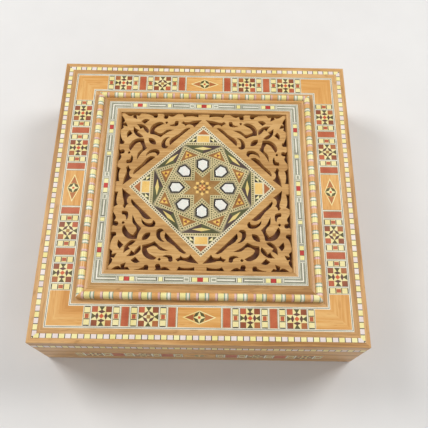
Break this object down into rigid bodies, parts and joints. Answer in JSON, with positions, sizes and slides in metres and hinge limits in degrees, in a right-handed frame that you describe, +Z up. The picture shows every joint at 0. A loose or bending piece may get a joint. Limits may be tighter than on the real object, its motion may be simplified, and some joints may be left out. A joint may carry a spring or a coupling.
{
  "type": "wooden puzzle box",
  "caption": "Square marquetry keepsake box with a hinged lid, sawn fretwork and inlaid rosette, sliding trim strips that hide the keyhole and the key, and a hook-bolt lock.",
  "frame": {"origin": "middle of the underside, on the surface that the box stands on", "axes": "+Z up, the front with the hidden keyhole towards -Y, the hinges towards +Y"},
  "size_m": [0.25, 0.25, 0.0705],
  "materials": {
    "box_wood": "satin varnish",
    "frame_wood": "satin varnish",
    "fret_wood": "satin varnish",
    "golden_veneer": "satin varnish",
    "red_veneer": "satin varnish",
    "tile_mosaic": "satin varnish",
    "bead_mosaic": "satin varnish",
    "line_mosaic": "satin varnish",
    "strap_mosaic": "satin varnish",
    "star_wood": "satin varnish",
    "mother_of_pearl": "polished shell",
    "brass": "satin",
    "velvet": "short pile",
    "bottom_wood": "matt"
  },
  "bodies": {
    "base": {"front_wall": "box_wood", "back_wall": "box_wood", "left_wall": "box_wood", "right_wall": "box_wood", "bottom_panel": "bottom_wood", "base_lining": "velvet", "front_fixed_strip": "box_wood", "right_fixed_strip": "box_wood", "left_strip": "box_wood", "back_strip": "box_wood", "front_fixed_mosaic": "tile_mosaic", "right_fixed_mosaic": "tile_mosaic", "left_mosaic": "tile_mosaic", "back_mosaic": "tile_mosaic", "slide_stop_pegs": "brass", "hinge_left_base_leaf": "brass", "hinge_right_base_leaf": "brass", "hinge_pins": "brass", "base_hardware_screws": "brass", "lock_case": "brass", "lock_cap": "brass", "keyhole_escutcheon": "brass", "key": "brass"},
    "lid": {"lid_board": "box_wood", "lid_front_rail": "box_wood", "lid_back_rail": "box_wood", "lid_left_rail": "box_wood", "lid_right_rail": "box_wood", "lid_lining": "velvet", "lid_rim_beads": "bead_mosaic", "lid_bead_border": "bead_mosaic", "lid_stringing": "line_mosaic", "lid_star_tiles": "tile_mosaic", "lid_red_tiles": "red_veneer", "lid_dot_tiles": "tile_mosaic", "lid_lozenge_panels": "golden_veneer", "lid_band_corners": "golden_veneer", "frame_front": "frame_wood", "frame_back": "frame_wood", "frame_left": "frame_wood", "frame_right": "frame_wood", "frame_colour_bead": "bead_mosaic", "frame_line_inlay": "line_mosaic", "fret_panel": "fret_wood", "medallion_ground": "strap_mosaic", "medallion_border": "bead_mosaic", "medallion_pearls": "mother_of_pearl", "medallion_star": "star_wood", "medallion_kites": "star_wood", "lock_link_plate": "brass", "hinge_left_lid_leaf": "brass", "hinge_right_lid_leaf": "brass", "lid_hardware_screws": "brass"},
    "front_slide": {"front_slide_strip": "box_wood", "front_slide_mosaic": "tile_mosaic"},
    "right_slide": {"right_slide_strip": "box_wood", "right_slide_mosaic": "tile_mosaic"},
    "bolt": {"lock_bolt": "brass"}
  },
  "joints": [
    {"name": "lid_hinge", "type": "hinge", "parent": "base", "child": "lid", "pos_m": [0, 0.121, 0.0405], "axis": [-1, 0, 0], "range_deg": [0, 95]},
    {"name": "front_strip_slide", "type": "slide", "parent": "base", "child": "front_slide", "axis": [-1, 0, 0], "range_m": [0, 0.034]},
    {"name": "right_strip_slide", "type": "slide", "parent": "base", "child": "right_slide", "axis": [0, 1, 0], "range_m": [0, 0.045]},
    {"name": "bolt_throw", "type": "slide", "parent": "base", "child": "bolt", "axis": [1, 0, 0], "range_m": [0, 0.006]}
  ]
}
